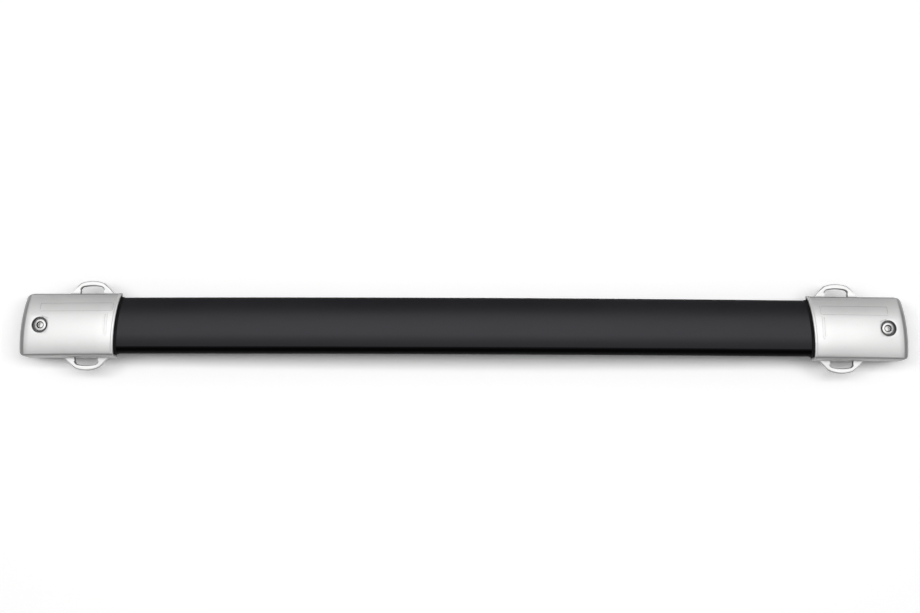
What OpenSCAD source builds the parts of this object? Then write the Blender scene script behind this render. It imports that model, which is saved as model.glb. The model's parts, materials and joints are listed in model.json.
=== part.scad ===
// Roof rack crossbar: an arched aerofoil bar between two clamp feet.
// Each foot is a die-cast cover on a die-cast base that carries two tie-down loops.
// A screw in the cover draws a hooked jaw up under the vehicle's side rail.
// X runs along the bar, -Y is the vehicle's forward side, Z is up.
// The origin lies midway between the feet, on the surface that the hooks stand on.

/* [Crossbar] */
// Length over both end covers, on the centre line
overall_len = 1090; // [1040:2:1250]
// Chord of the bar, from its nose to its tail
bar_chord = 70; // [68:1:76]
// Height of the bar's crown over its flat underside
bar_height = 25; // [24.5:0.5:27]
// Radius of the bar's nose, on the forward side
nose_r = 11.5; // [10:0.25:12]
// Radius of the bar's tail
tail_r = 7; // [6.5:0.25:8]
// Wall of the bar's extrusion
bar_wall = 2.5; // [2:0.1:3]
// Rise of the bar's middle over its mouths
bar_camber = 14; // [10:1:20]
// Clear width between the bar's two inner webs
web_gap = 28; // [27:1:31]
// Thickness of each inner web
web_t = 2.2; // [1.8:0.2:2.8]

/* [End cover] */
// Length of the cover, on the centre line
cover_len = 120; // [119:1:124]
// Wall of the cover
cover_wall = 2.3; // [2:0.1:2.6]
// Extra room between the bar's tail and the cover's rear wall
rear_room = 1.4; // [0.6:0.2:2]
// Rounding of the cover's long top edges
edge_r = 5; // [4:0.5:6]
// How far each long wall leans out at its foot
wall_draft = 0.7; // [0.3:0.1:1]
// Rounding of the cover's outer end
end_round = 8; // [6:0.5:8.5]
// Angle of the side rails to the direction of travel
skew = 3.5; // [2.5:0.5:5]
// Extra fall of the cover's top at its outer end
cover_fall = 4; // [2:0.5:4.5]
// Thickness of the rubber seal around the bar
seal_t = 0.8; // [0.6:0.1:1]
// How far the seal stands out of the cover's mouth
seal_proud = 3; // [2:0.5:4]
// Diameter of the well above the clamp screw
well_d = 19.5; // [18.5:0.5:20]
// Diameter of the tower around the well
tower_d = 25; // [24:0.5:26]

/* [Foot base] */
// Height of the base's lower rim over the ground
rim_z = 28; // [27.5:0.5:28.5]
// Height of the base's floor over the ground, at its underside
floor_z = 31; // [30.5:0.5:31]
// Thickness of the base's floor
floor_t = 3; // [2.75:0.25:3.25]
// Wall of the base
base_wall = 3; // [2.6:0.1:3.2]
// Least height of metal under the bar, floor included
seat_t = 3.5; // [3.3:0.1:4]

/* [Tie-down loops] */
// Width of a loop at its root
loop_w = 55; // [52:1:58]
// Width of a loop's bowed crown
loop_crown_w = 30; // [26:1:32]
// How far a loop stands out of the base
loop_reach = 16; // [14:0.5:18]
// Width of a loop's band at its crown
loop_band = 6.3; // [5.5:0.1:7]
// Width of a loop's slot
loop_slot_w = 30; // [26:1:32]
// Bow of a loop's crown
loop_bow = 3; // [2:0.25:3.5]
// Thickness of a loop
loop_t = 6; // [5:0.5:7]
// Distance of the loops from the cover's outer end
loop_setback = 81; // [79:1:83]

/* [Rail clamp] */
// Width of the side rail between hook and jaw
rail_w = 30; // [28:1:31]
// Height of the side rail, from the lips to its crown
rail_h = 20; // [19:0.5:20.5]
// Radius of the side rail's crowned top
rail_top_r = 45; // [42:1:60]
// Distance of the clamp screw from the cover's outer end
screw_setback = 24; // [23:0.5:25]
// Length of the jaw along the rail
jaw_len = 40; // [36:1:42]
// Travel of the jaw
jaw_travel = 5; // [3.75:1.25:5]
// Thickness of the lips that reach under the rail
lip_t = 5; // [4.5:0.5:5]
// Reach of each lip under the rail
lip_reach = 10; // [8:0.5:10.5]
// Thickness of the hook's leg
hook_t = 5; // [4.5:0.5:5.5]
// Rubber on the hook and on the jaw
liner_t = 2; // [1.5:0.25:2]

/* [Fasteners] */
// Diameter of the clamp screw
screw_d = 8; // [8:0.1:8.2]
// Length of the clamp screw under its head
screw_len = 45; // [44:1:46]
// Diameter of the clamp screw's button head
head_d = 14; // [13.5:0.5:15]
// Height of the clamp screw's button head
head_h = 4.4; // [4.2:0.2:5]
// Width of the clamp screw's hex socket, across flats
socket_w = 5; // [4.8:0.1:5.2]
// Diameter of the washer under the clamp screw
washer_d = 17; // [16:0.5:18]
// Thickness of that washer
washer_t = 1.6; // [1.4:0.1:1.8]
// Width of the jaw's nut, across flats
nut_w = 13; // [12.8:0.1:13.2]
// Thickness of the jaw's nut
nut_t = 6.5; // [6:0.25:6.75]
// Diameter of the two bolts that hold the bar
bolt_d = 6; // [5.8:0.1:6.2]
// Thickness of the nut plate inside the bar
nut_plate_t = 5; // [4.5:0.25:6]
// Diameter of the screws that join cover and base
case_screw_d = 4; // [3.8:0.1:4.2]

/* [Hidden] */
PARTS = [
    "end_cover", "foot_base", "mouth_seal", "rail_pad", "hook_liner", "clamp_jaw", "jaw_liner", "jaw_nut",
    "clamp_screw", "clamp_washer", "retaining_ring", "nut_plate", "bar_bolts", "case_screws"
];
$fn = 64;
fit = 0.4;          // play between bodies that slide past each other
snug = 0.2;         // play between pieces that are assembled once
run_fit = 0.06;     // radial play of a thread or a shank in its bore
clear = 0.4;        // radial play of a screw in a plain hole
bend_fit = 0.06;    // room for the bar's bend where straight pieces meet it
ground_gap = 1;     // the closed jaw stays off the ground
big = 200;          // size of cutting blocks

silver = [0.78, 0.78, 0.77];
black = [0.09, 0.09, 0.1];
rubber = [0.05, 0.05, 0.05];
steel = [0.6, 0.61, 0.62];

// Bar section: nose and tail circles stand on the flat underside, and one crown arc touches both
nose = [-bar_chord / 2 + nose_r, nose_r];
tail = [bar_chord / 2 - tail_r, tail_r];
nose_drop = sqrt(bar_height - 2 * nose_r);
tail_drop = sqrt(bar_height - 2 * tail_r);
crown_root = (tail[0] - nose[0]) / (nose_drop + tail_drop);
crown_r = (crown_root * crown_root + bar_height) / 2;
crown = [nose[0] + crown_root * nose_drop, bar_height - crown_r];
nose_turn = atan2(nose[1] - crown[1], nose[0] - crown[0]);
tail_turn = atan2(tail[1] - crown[1], tail[0] - crown[0]);

// Rail clamp, in the frame of the rail: origin at the clamp screw, X outwards, Y along the rail
jaw_in = 9;
jaw_out = 11;
rail_out = -jaw_in - liner_t;
rail_in = rail_out - rail_w;
rail_mid = (rail_in + rail_out) / 2;
hook_face = rail_in - liner_t;
hook_back = hook_face - hook_t;
rail_low = ground_gap + lip_t + liner_t;
rail_crown = rail_low + rail_h;
jaw_low = ground_gap;
jaw_top = floor_z - 1.6;
liner_top = rail_crown - 4;
hook_len = jaw_len + 4;
guide_t = 3;
guide_hold = 8.4;   // depth of guide left around the lowered jaw
guide_z = jaw_top - jaw_travel - guide_hold;
nut_z = 13;
peg_d = 6;
peg_y = 12;
case_y = 27;

// Places along X, with the bar's end just short of the hook's leg
end_x = overall_len / 2;
mouth_x = end_x - cover_len;
screw_x = end_x - screw_setback;
leg_gap = 1;
bar_insert = cover_len - screw_setback + hook_back - leg_gap;

// The bar is bent to one radius, and each foot lies square to the middle of the length that it holds
bend_r = (mouth_x * mouth_x + bar_camber * bar_camber) / (2 * bar_camber);
half_turn = bar_insert / 2 / bend_r * 180 / PI;
tilt = asin(mouth_x / bend_r) + half_turn;
seat_z = floor_z + seat_t + bar_insert / 2 * sin(tilt);
bend_z = seat_z - bend_r * cos(tilt);
foot_x = bend_r * sin(tilt) - bar_insert / 2 * cos(tilt);
foot_z = seat_z + bar_insert / 2 * sin(tilt);

// Foot, in the frame of the bar's straight end: X from the mouth outwards, Z up from the bar's underside
skew_t = tan(skew);
play = seal_t + snug;
skin_off = play + cover_wall;
half_w = bar_chord / 2 + skin_off;
foot_w = half_w + wall_draft;
part_z = 5;
foot_end = (end_x - foot_x) / cos(tilt);
loop_at = foot_end - loop_setback;
end_steps = 6;
edge_steps = 6;
crown_steps = 14;

// Clamp screw
well_floor = 12;
screw_along = (screw_x - foot_x) * cos(tilt);
part_at_screw = foot_z - (screw_x - foot_x) * tan(tilt) + part_z / cos(tilt);
washer_z = part_at_screw + well_floor;
head_z = washer_z + washer_t;
ring_t = 1;
ring_d = 14;

// Small fasteners
bolt_shares = [0.35, 0.78];
bolt_seat = -4;
bolt_len = 14;
bolt_head_w = 10;
bolt_head_h = 4;
spot_d = 15;
case_head_d = 7.5;
case_head_h = 2.2;
case_len = 13;
case_boss_d = 10;
rib_t = 2;
rib_depth = 4;
rib_lift = 3;
rib_y1 = 14;
rib_y2 = 27;
saddle_x = 9;
saddle_w = 40;
case_along = (screw_x + rail_mid - foot_x) * cos(tilt);

function polar(c, r, a) = [c[0] + r * cos(a), c[1] + r * sin(a)];
function arc(c, r, a0, a1, n) = [for (i = [0:n]) polar(c, r, a0 + (a1 - a0) * i / n)];
function rest(list) = [for (i = [1:len(list) - 1]) list[i]];
function unit(v) = v / norm(v);
function near_turn(a, b) = b - 360 * round((b - a) / 360);

// A corner at b between a and c, rounded to radius r
function corner(a, b, c, r) = r == 0 ? [b] : let (
    u = unit(a - b),
    v = unit(c - b),
    half = acos(u * v) / 2,
    m = b + unit(u + v) * r / sin(half),
    p = b + u * r / tan(half) - m,
    q = b + v * r / tan(half) - m,
    from = atan2(p[1], p[0])
) arc(m, r, from, near_turn(from, atan2(q[1], q[0])), 6);

// An outline through points, each given as [x, y, corner radius]
function rounded(points) = [
    for (i = [0:len(points) - 1])
        let (
            n = len(points),
            a = points[(i + n - 1) % n],
            b = points[i],
            c = points[(i + 1) % n]
        )
        each corner([a[0], a[1]], [b[0], b[1]], [c[0], c[1]], b[2])
];

// Centre of the round that blends the long wall at y = s * w into the crown, where s is -1 or 1
function edge_centre(s, w, top_r, r) = let (y = s * (w - r))
    [y, crown[1] + sqrt(pow(top_r - r, 2) - pow(y - crown[0], 2))];

// The cover's section above the parting plane, drawn in by inset from its outer face
function skin_line(inset) = let (
    w = half_w - inset,
    top_r = crown_r + skin_off - inset,
    r = max(edge_r - inset, 0.6),
    front = edge_centre(-1, w, top_r, r),
    rear = edge_centre(1, w + rear_room, top_r, r),
    front_turn = atan2(front[1] - crown[1], front[0] - crown[0]),
    rear_turn = atan2(rear[1] - crown[1], rear[0] - crown[0])
) concat(
    [[-w - wall_draft, part_z]],
    arc(front, r, 180, front_turn, edge_steps),
    rest(arc(crown, top_r, front_turn, rear_turn, crown_steps)),
    rest(arc(rear, r, rear_turn, 0, edge_steps)),
    [[w + rear_room + wall_draft, part_z]]
);

// The cover's top sinks a little towards its outer end
function fall_at(x) = cover_fall * pow(max(0, x) / foot_end, 2);

// One ring of the cover's skin, sheared along the rail
function skin_ring(x, inset) = [
    for (p = skin_line(inset))
        [x - p[0] * skew_t, p[0], p[1] - fall_at(x) * (p[1] - part_z) / (bar_height - part_z)]
];

// Rings from the mouth to the outer end, with the end rounded off
function skin_rings(inset) = let (r = end_round - inset, x1 = foot_end - end_round) concat(
    [for (i = [0:4]) skin_ring(x1 * i / 5, inset)],
    [for (i = [0:end_steps])
        let (a = 90 * i / end_steps) skin_ring(x1 + r * sin(a), inset + r * (1 - cos(a)))]
);

// Plan of the foot at the parting plane, drawn in by inset from its outer face
function foot_plan(start, inset) = let (
    r = end_round - inset,
    w = foot_w - inset,
    x1 = foot_end - end_round,
    front = [for (i = [0:end_steps]) [x1 + r * sin(90 * i / end_steps), -w + r - r * cos(90 * i / end_steps)]],
    back = w + rear_room - r,
    rear = [for (i = [end_steps:-1:0]) [x1 + r * sin(90 * i / end_steps), back + r * cos(90 * i / end_steps)]],
    square_on = concat([[start, -w]], front, rear, [[start, back + r]])
) [for (p = square_on) [p[0] - p[1] * skew_t, p[1]]];

module on_bar_end() translate([foot_x, 0, foot_z]) rotate([0, tilt, 0]) children();

module at_rail() translate([screw_x, 0, 0]) rotate([0, 0, skew]) children();

module above(z) {
    intersection() {
        children();
        translate([foot_x - big, -big / 2, z]) cube([2 * big, big, big]);
    }
}

// A shape drawn in X and Z, extruded along the rail about its middle
module along_rail(points, length) {
    at_rail()
        translate([0, length / 2, 0])
            rotate([90, 0, 0])
                linear_extrude(length) polygon(points);
}

module foot_block(start, inset, z0, z1) {
    translate([0, 0, z0]) linear_extrude(z1 - z0) polygon(foot_plan(start, inset));
}

// Section of the bar, grown by off
module bar_section(off) {
    far = 2 * crown_r;
    translate(nose) circle(r = nose_r + off);
    translate(tail) circle(r = tail_r + off);
    polygon([[nose[0], -off], [tail[0], -off], tail, nose]);
    intersection() {
        translate(crown) circle(r = crown_r + off, $fn = 256);
        polygon([nose, tail, polar(crown, far, tail_turn), polar(crown, far, nose_turn)]);
    }
}

// The extrusion's section: one skin, two webs and three cells
module bar_profile() {
    difference() {
        bar_section(0);
        difference() {
            bar_section(-bar_wall);
            for (s = [-1, 1])
                translate([s * (web_gap + web_t) / 2 - web_t / 2, -1]) square([web_t, bar_height + 2]);
        }
    }
}

// A straight run of a section along the bar's end
module bar_run(from, to) {
    translate([from, 0, 0]) rotate([90, 0, 90]) linear_extrude(to - from) children();
}

module bolt_places() {
    for (share = bolt_shares) translate([share * bar_insert, 0, 0]) children();
}

module case_places() {
    at_rail() for (s = [-1, 1]) translate([rail_mid, s * case_y, 0]) children();
}

module bolt_holes() {
    on_bar_end() bolt_places() translate([0, 0, -1]) cylinder(d = bolt_d + 2 * clear, h = bar_wall + 2);
}

module bar() color(black) {
    turn = tilt + half_turn;
    difference() {
        translate([0, 0, bend_z])
            rotate([90, 0, 0])
                rotate([0, 0, 90 - turn])
                    rotate_extrude(angle = 2 * turn, $fn = 256)
                        translate([bend_r, 0]) rotate(-90) bar_profile();
        bolt_holes();
        mirror([1, 0, 0]) bolt_holes();
    }
}

// The cover's skin: an outer and an inner loft, joined at the mouth and along the parting plane
module cover_skin() {
    outer = skin_rings(0);
    inner = skin_rings(cover_wall);
    n = len(outer);
    m = len(outer[0]);
    o = function (i, j) i * m + j;
    k = function (i, j) n * m + i * m + j;
    polyhedron(
        points = concat([for (ring = outer) each ring], [for (ring = inner) each ring]),
        faces = concat(
            [for (i = [0:n - 2]) for (j = [0:m - 2]) [o(i, j), o(i, j + 1), o(i + 1, j + 1), o(i + 1, j)]],
            [for (i = [0:n - 2]) for (j = [0:m - 2]) [k(i, j), k(i + 1, j), k(i + 1, j + 1), k(i, j + 1)]],
            [for (j = [0:m - 2]) [o(0, j), k(0, j), k(0, j + 1), o(0, j + 1)]],
            [for (i = [0:n - 2]) [o(i, 0), o(i + 1, 0), k(i + 1, 0), k(i, 0)]],
            [for (i = [0:n - 2]) [o(i, m - 1), k(i, m - 1), k(i + 1, m - 1), o(i + 1, m - 1)]],
            [[o(n - 1, 0), o(n - 1, m - 1), k(n - 1, m - 1), k(n - 1, 0)]],
            [[for (j = [0:m - 1]) o(n - 1, j)]],
            [[for (j = [m - 1:-1:0]) k(n - 1, j)]]
        )
    );
}

// A stiffening rib across the cover, rooted halfway into its skin
module cover_rib(x) {
    bar_run(x - rib_t / 2, x + rib_t / 2)
        translate([0, -fall_at(x)])
            difference() {
                polygon(skin_line(cover_wall / 2));
                translate([0, -rib_depth]) polygon(skin_line(cover_wall + rib_depth));
                translate([-bar_chord, 0]) square([2 * bar_chord, part_z + rib_lift]);
            }
}

// What lies above the parting plane and ends halfway into the cover's skin near x
module under_skin(x) {
    intersection() {
        children();
        on_bar_end()
            translate([0, 0, -fall_at(x)])
                bar_run(x - tower_d, x + tower_d)
                    difference() {
                        polygon(skin_line(cover_wall / 2));
                        translate([-bar_chord, 0]) square([2 * bar_chord, part_z + fall_at(x)]);
                    }
    }
}

module end_cover() color(silver) {
    difference() {
        union() {
            on_bar_end() cover_skin();
            under_skin(screw_along) translate([screw_x, 0, 0]) cylinder(d = tower_d, h = big);
            under_skin(case_along) case_places() cylinder(d = case_boss_d, h = big);
            on_bar_end() for (x = [bar_insert + 6, case_along + case_boss_d]) cover_rib(x);
        }
        translate([screw_x, 0, washer_z]) cylinder(d = well_d, h = big);
        translate([screw_x, 0, 0]) cylinder(d = screw_d + 2 * clear, h = big);
        case_places() cylinder(d = case_screw_d + 2 * run_fit, h = floor_z + case_head_h + case_len + 2);
    }
}

// Outline of a loop or its slot: straight legs from the wall, round shoulders and a bowed crown
function loop_line(root, crown_w, y0, y1, bow, r) = let (
    bow_r = (crown_w * crown_w / 4 + bow * bow) / (2 * bow),
    half = asin(crown_w / 2 / bow_r),
    bowed = [
        for (i = [0:8])
            let (a = -half + half * i / 4)
            [bow_r * sin(a), y1 - bow_r * (1 - cos(a)), i == 0 || i == 8 ? r : 0]
    ]
) rounded(concat([[-root / 2, y0, 0]], bowed, [[root / 2, y0, 0]]));

// One tie-down loop, rear or front as side is 1 or -1, with its slot against the wall
module loop(side) {
    wall = foot_w + (side > 0 ? rear_room : 0);
    lean = (loop_w - loop_crown_w) / loop_reach;
    slot_reach = wall + loop_reach - loop_band;
    translate([loop_at - side * wall * skew_t, 0, part_z - loop_t])
        linear_extrude(loop_t)
            scale([1, side])
                difference() {
                    polygon(loop_line(loop_w + lean, loop_crown_w, wall - 1, wall + loop_reach, loop_bow, 5));
                    polygon(loop_line(loop_slot_w, loop_slot_w - 1, wall, slot_reach, loop_bow * 0.7, 5));
                }
}

// The saddle under the bar, level with the bar's flat underside
module saddle() {
    above(floor_z)
        on_bar_end()
            translate([saddle_x, -saddle_w / 2, -big / 10 - bend_fit])
                cube([bar_insert - saddle_x + 1, saddle_w, big / 10]);
}

module foot_inside() {
    on_bar_end() foot_block(base_wall, base_wall, -big / 10, part_z + 1);
}

module base_shell() {
    difference() {
        above(rim_z) on_bar_end() foot_block(0, 0, -big / 10, part_z);
        above(floor_z + floor_t) foot_inside();
        difference() {
            foot_inside();
            translate([foot_x - big, -big / 2, floor_z]) cube([2 * big, big, big]);
        }
    }
}

// Walls that guide the jaw on three sides
module jaw_guide() {
    x0 = -jaw_in;
    x1 = jaw_out + fit;
    y1 = jaw_len / 2 + fit;
    at_rail() {
        for (s = [-1, 1])
            translate([x0, s * (y1 + guide_t / 2) - guide_t / 2, guide_z])
                cube([x1 + guide_t - x0, guide_t, floor_z - guide_z + 1]);
        translate([x1, -y1 - 1, guide_z]) cube([guide_t, 2 * y1 + 2, floor_z - guide_z + 1]);
    }
}

// Ribs under the floor, between the mouth and the hook's leg
module floor_ribs() {
    long = bar_insert - base_wall + 1;
    at_rail()
        for (y = [-rib_y2, -rib_y1, rib_y1, rib_y2])
            translate([hook_back - long, y - rib_t / 2, rim_z + 0.5]) cube([long + 1, rib_t, floor_z - rim_z + 0.5]);
}

// The fixed hook that reaches under the rail's inner side
module hook() {
    back = hook_back;
    tip = rail_in + lip_reach;
    along_rail(rounded([
        [back, floor_z + 1, 0], [back, 0, 3], [tip, 0, 1.5], [tip, lip_t + ground_gap, 1],
        [hook_face, lip_t + ground_gap, 0], [hook_face, floor_z + 1, 0]
    ]), hook_len);
    for (s = [-1, 1])
        at_rail()
            translate([0, s * 14 + 2, 0])
                rotate([90, 0, 0])
                    linear_extrude(4)
                        polygon([[back + 1, 10], [back + 1, floor_z + 1], [back - 10, floor_z + 1], [back - 10, 26]]);
}

module foot_base() color(silver) {
    difference() {
        union() {
            difference() {
                base_shell();
                at_rail() translate([hook_face, -big / 2, -1]) cube([rail_out - hook_face, big, 1 + floor_z]);
            }
            saddle();
            floor_ribs();
            below_part() translate([screw_x, 0, floor_z]) cylinder(d = tower_d, h = big / 10);
            below_part() case_places() translate([0, 0, floor_z]) cylinder(d = case_boss_d, h = big / 10);
            on_bar_end() for (s = [-1, 1]) loop(s);
            jaw_guide();
            hook();
        }
        on_bar_end() bar_run(-5, saddle_x) bar_section(play);
        translate([screw_x, 0, 0]) cylinder(r = screw_d / 2 + run_fit, h = big);
        on_bar_end() bolt_places() translate([0, 0, -big / 10]) cylinder(d = bolt_d + 2 * clear, h = big / 10 + 1);
        on_bar_end() bolt_places() translate([0, 0, bolt_seat - 9]) cylinder(d = spot_d, h = 9);
        case_places() translate([0, 0, floor_z - 1]) cylinder(d = case_screw_d + 2 * clear, h = 20);
        case_places() translate([0, 0, floor_z - 1]) cylinder(d = case_head_d + 1, h = case_head_h + 1);
        at_rail()
            for (s = [-1, 1]) translate([rail_mid, s * peg_y, floor_z - 1]) cylinder(d = peg_d + 0.2, h = floor_t + 2);
    }
}

module below_part() {
    difference() {
        children();
        on_bar_end() translate([-big / 2, -big / 2, part_z]) cube([2 * big, big, big]);
    }
}

module mouth_seal() color(rubber) {
    x1 = base_wall + 2;
    w = bar_chord;
    on_bar_end()
        intersection() {
            bar_run(-15, 15)
                difference() {
                    union() {
                        bar_section(seal_t);
                        polygon(skin_line(cover_wall + 2 * snug));
                    }
                    bar_section(bend_fit);
                    translate([-foot_w, part_z]) square([wall_draft + cover_wall + snug, snug]);
                }
            translate([0, 0, -5])
                linear_extrude(2 * bar_height)
                    polygon([
                        [-seal_proud + w * skew_t, -w], [x1 + w * skew_t, -w],
                        [x1 - w * skew_t, w], [-seal_proud - w * skew_t, w]
                    ]);
        }
}

module rail_pad() color(rubber) {
    half = foot_w - base_wall;
    at_rail() {
        difference() {
            translate([hook_face + 0.6, -half, rail_crown - 4])
                cube([rail_out - hook_face - 1.2, 2 * half, floor_z - rail_crown + 4]);
            translate([rail_mid, -big / 2, rail_crown - rail_top_r])
                rotate([-90, 0, 0]) cylinder(r = rail_top_r, h = big, $fn = 180);
        }
        for (s = [-1, 1]) translate([rail_mid, s * peg_y, floor_z]) cylinder(d = peg_d, h = floor_t + 1);
    }
}

// A rubber angle on a leg and its lip
module liner(face, tip, low, length) {
    s = sign(tip - face);
    along_rail([
        [face, low], [tip, low], [tip, low + liner_t], [face + s * liner_t, low + liner_t],
        [face + s * liner_t, liner_top], [face, liner_top]
    ], length);
}

module hook_liner() color(rubber) liner(hook_face, rail_in + lip_reach, lip_t + ground_gap, hook_len - 2);

module jaw_liner() color(rubber) liner(-jaw_in, rail_out - lip_reach, lip_t + ground_gap, jaw_len - 2);

module clamp_jaw() color(black) {
    tip = rail_out - lip_reach;
    difference() {
        along_rail(rounded([
            [-jaw_in, jaw_top, 1], [-jaw_in, lip_t + jaw_low, 0], [tip, lip_t + jaw_low, 1], [tip, jaw_low, 1.5],
            [6, jaw_low, 2], [jaw_out, jaw_low + 6, 2], [jaw_out, jaw_top, 1]
        ]), jaw_len);
        translate([screw_x, 0, 0]) cylinder(d = screw_d + 1, h = big);
        translate([screw_x, 0, -1])
            rotate([0, 0, skew]) cylinder(d = (nut_w + 0.2) / cos(30), h = nut_z + nut_t + 1, $fn = 6);
        at_rail()
            for (s = [-1, 1])
                translate([1, s * 14, jaw_low - 1]) cylinder(d = 8, h = 22);
    }
}

module jaw_nut() color(steel) {
    translate([screw_x, 0, nut_z])
        difference() {
            rotate([0, 0, skew]) cylinder(d = nut_w / cos(30), h = nut_t, $fn = 6);
            translate([0, 0, -1]) cylinder(r = screw_d / 2 + run_fit, h = nut_t + 2);
        }
}

// Button head: a low dome over a short rim, with a hex socket
module clamp_screw() color(steel) {
    rim = 1.2;
    dome_r = (head_d * head_d / 4 + pow(head_h - rim, 2)) / (2 * (head_h - rim));
    translate([screw_x, 0, head_z]) {
        difference() {
            intersection() {
                cylinder(d = head_d, h = head_h);
                translate([0, 0, head_h - dome_r]) sphere(r = dome_r);
            }
            translate([0, 0, head_h - 3]) cylinder(d = socket_w / cos(30), h = 4, $fn = 6);
        }
        translate([0, 0, -screw_len]) cylinder(d = screw_d, h = screw_len + 1);
    }
}

module clamp_washer() color(steel) {
    translate([screw_x, 0, washer_z])
        difference() {
            cylinder(d = washer_d, h = washer_t);
            translate([0, 0, -1]) cylinder(d = screw_d + 2 * clear, h = washer_t + 2);
        }
}

module retaining_ring() color(steel) {
    translate([screw_x, 0, floor_z - ring_t - 0.2])
        difference() {
            cylinder(d = ring_d, h = ring_t);
            translate([0, 0, -1]) cylinder(d = screw_d, h = ring_t + 2);
        }
}

module nut_plate() color(steel) {
    on_bar_end()
        difference() {
            translate([bolt_shares[0] * bar_insert - 9, -web_gap / 2 + 1, bar_wall + bend_fit])
                cube([(bolt_shares[1] - bolt_shares[0]) * bar_insert + 18, web_gap - 2, nut_plate_t]);
            bolt_places() cylinder(d = bolt_d + 2 * run_fit, h = big / 10);
        }
}

module bar_bolts() color(steel) {
    on_bar_end()
        bolt_places() {
            translate([0, 0, bolt_seat - bolt_head_h]) cylinder(d = bolt_head_w / cos(30), h = bolt_head_h, $fn = 6);
            translate([0, 0, bolt_seat - 1]) cylinder(d = bolt_d, h = bolt_len + 1);
        }
}

module case_screws() color(steel) {
    case_places() {
        translate([0, 0, floor_z]) cylinder(d = case_head_d, h = case_head_h);
        translate([0, 0, floor_z + 1]) cylinder(d = case_screw_d, h = case_head_h + case_len - 1);
    }
}

module foot_part(part) {
    if (part == "end_cover") end_cover();
    if (part == "foot_base") foot_base();
    if (part == "mouth_seal") mouth_seal();
    if (part == "rail_pad") rail_pad();
    if (part == "hook_liner") hook_liner();
    if (part == "clamp_jaw") clamp_jaw();
    if (part == "jaw_liner") jaw_liner();
    if (part == "jaw_nut") jaw_nut();
    if (part == "clamp_screw") clamp_screw();
    if (part == "clamp_washer") clamp_washer();
    if (part == "retaining_ring") retaining_ring();
    if (part == "nut_plate") nut_plate();
    if (part == "bar_bolts") bar_bolts();
    if (part == "case_screws") case_screws();
}

bar();
for (p = PARTS)
    foot_part(p);
for (p = PARTS)
    mirror([1, 0, 0]) foot_part(p);
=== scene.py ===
import json
import math

import bmesh
import bpy
from mathutils import Matrix, Vector
from mathutils.bvhtree import BVHTree


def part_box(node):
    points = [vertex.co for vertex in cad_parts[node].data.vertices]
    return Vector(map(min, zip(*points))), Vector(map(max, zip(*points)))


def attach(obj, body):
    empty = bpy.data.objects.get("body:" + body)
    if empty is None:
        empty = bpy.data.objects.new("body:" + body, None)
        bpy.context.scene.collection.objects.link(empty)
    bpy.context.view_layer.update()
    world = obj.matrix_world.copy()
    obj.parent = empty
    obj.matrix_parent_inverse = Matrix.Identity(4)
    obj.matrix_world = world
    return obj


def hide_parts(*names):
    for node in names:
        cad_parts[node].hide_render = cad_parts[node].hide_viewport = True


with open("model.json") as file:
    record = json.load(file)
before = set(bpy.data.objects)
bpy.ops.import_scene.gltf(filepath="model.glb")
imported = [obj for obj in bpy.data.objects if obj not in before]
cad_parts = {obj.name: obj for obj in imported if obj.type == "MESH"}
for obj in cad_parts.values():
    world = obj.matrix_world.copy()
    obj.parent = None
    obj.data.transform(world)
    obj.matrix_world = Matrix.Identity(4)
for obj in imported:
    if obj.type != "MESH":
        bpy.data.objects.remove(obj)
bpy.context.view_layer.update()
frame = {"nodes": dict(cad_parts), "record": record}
print("frame loaded:", len(frame["nodes"]), "nodes")

mm = 0.001
weld = 1e-6          # vertices closer than this are one
onSpot = 1e-5        # how near a vertex lies to the place that it is sought at
cornerAngle = 0.6    # radians

# where the right foot stands: its frame starts at the cover's mouth, on the bar's underside
foot = {
    "x": 425.003 * mm,
    "z": 37.764 * mm,
    "tilt": math.radians(3.9819),
    "skew": math.radians(3.5),
    "screwX": 521 * mm,
}
lean = math.tan(foot["skew"])


def deselectAll():
    if bpy.context.object and bpy.context.object.mode != "OBJECT":
        bpy.ops.object.mode_set(mode="OBJECT")
    bpy.ops.object.select_all(action="DESELECT")


def pick(piece):
    deselectAll()
    piece.select_set(True)
    bpy.context.view_layer.objects.active = piece
    return piece


# takes a place in the right foot's frame to the object's frame
def footToRow():
    return Matrix.Translation((foot["x"], 0, foot["z"])) @ Matrix.Rotation(foot["tilt"], 4, "Y")


# copy of a CAD node's mesh, with its loose triangles joined
def copyOfNode(node, name):
    source = frame["nodes"][node]
    mesh = source.data.copy()
    piece = bpy.data.objects.new(name, mesh)
    bpy.context.scene.collection.objects.link(piece)
    pick(piece)
    bpy.ops.object.mode_set(mode="EDIT")
    bpy.ops.mesh.select_all(action="SELECT")
    bpy.ops.mesh.remove_doubles(threshold=weld)
    bpy.ops.mesh.customdata_custom_splitnormals_clear()
    bpy.ops.object.mode_set(mode="OBJECT")
    mesh.materials.clear()
    return piece


# selects the faces, edges or vertices whose middle passes the test
def selectWhere(piece, kind, test):
    mesh = bmesh.from_edit_mesh(piece.data)
    bpy.ops.mesh.select_all(action="DESELECT")
    count = 0
    for item in {"face": mesh.faces, "edge": mesh.edges, "vert": mesh.verts}[kind]:
        if test(item):
            item.select_set(True)
            count += 1
    bmesh.update_edit_mesh(piece.data)
    return count


# the faces on both sides of the edge meet at a clear angle
def isCorner(edge):
    return edge.calc_face_angle(0) > cornerAngle


def editMode(piece, mode="FACE"):
    pick(piece)
    bpy.ops.object.mode_set(mode="EDIT")
    bpy.ops.mesh.select_mode(type=mode)


def objectMode():
    bpy.ops.object.mode_set(mode="OBJECT")


def applyAll(piece):
    pick(piece)
    for modifier in list(piece.modifiers):
        bpy.ops.object.modifier_apply(modifier=modifier.name)


def placeIn(piece, matrix):
    pick(piece)
    piece.matrix_world = matrix @ piece.matrix_world
    bpy.ops.object.transform_apply(location=True, rotation=True, scale=True)


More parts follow.
